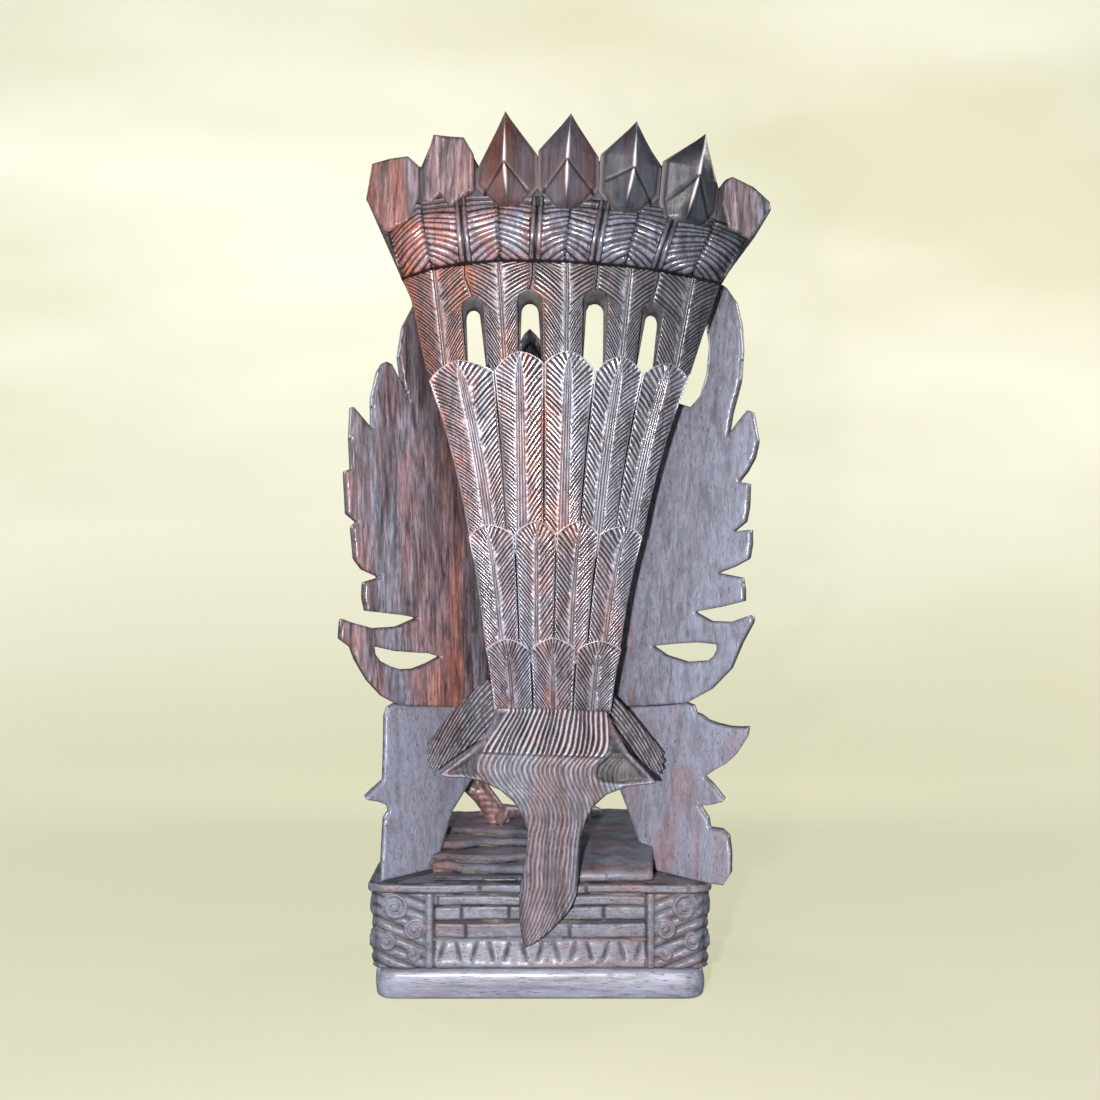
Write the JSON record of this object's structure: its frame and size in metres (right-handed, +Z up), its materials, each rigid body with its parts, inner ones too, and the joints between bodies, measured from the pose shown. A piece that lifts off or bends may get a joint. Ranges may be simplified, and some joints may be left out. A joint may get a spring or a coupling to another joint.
{
  "type": "carved guardian bird statue",
  "caption": "Carved hardwood guardian bird with an upright feathered fan tail, spread wings and leg screens, on a brick-pattern block and plinth board.",
  "frame": {"origin": "middle of the plinth's underside", "axes": "+Z up, +Y the way the bird faces, so the fan tail's carved side faces -Y and +X is to the right of a viewer behind the bird"},
  "size_m": [0.195, 0.147, 0.3915],
  "materials": {
    "dark_rosewood": "hand-rubbed wax over a near-black oiled hardwood",
    "brown_rosewood": "hand-rubbed wax over a red-brown oiled hardwood",
    "bamboo": "bare split bamboo"
  },
  "bodies": {
    "root": {"plinth": "dark_rosewood", "brick_block": "dark_rosewood", "rock_mound": "dark_rosewood", "base_dowel_left": "bamboo", "base_dowel_right": "bamboo", "body": "brown_rosewood", "head": "brown_rosewood", "crest": "dark_rosewood", "left_leg": "brown_rosewood", "right_leg": "brown_rosewood", "left_wing": "dark_rosewood", "right_wing": "dark_rosewood", "left_wing_lower_pin": "bamboo", "left_wing_upper_pin": "bamboo", "right_wing_lower_pin": "bamboo", "right_wing_upper_pin": "bamboo", "tail_fan": "brown_rosewood", "tail_pin": "bamboo", "rear_sash": "dark_rosewood", "sash_dowel": "bamboo", "left_sash_flap": "dark_rosewood", "right_sash_flap": "dark_rosewood", "left_leg_screen": "dark_rosewood", "right_leg_screen": "dark_rosewood", "left_screen_outer_dowel": "bamboo", "left_screen_inner_dowel": "bamboo", "right_screen_inner_dowel": "bamboo", "right_screen_outer_dowel": "bamboo"}
  },
  "joints": []
}
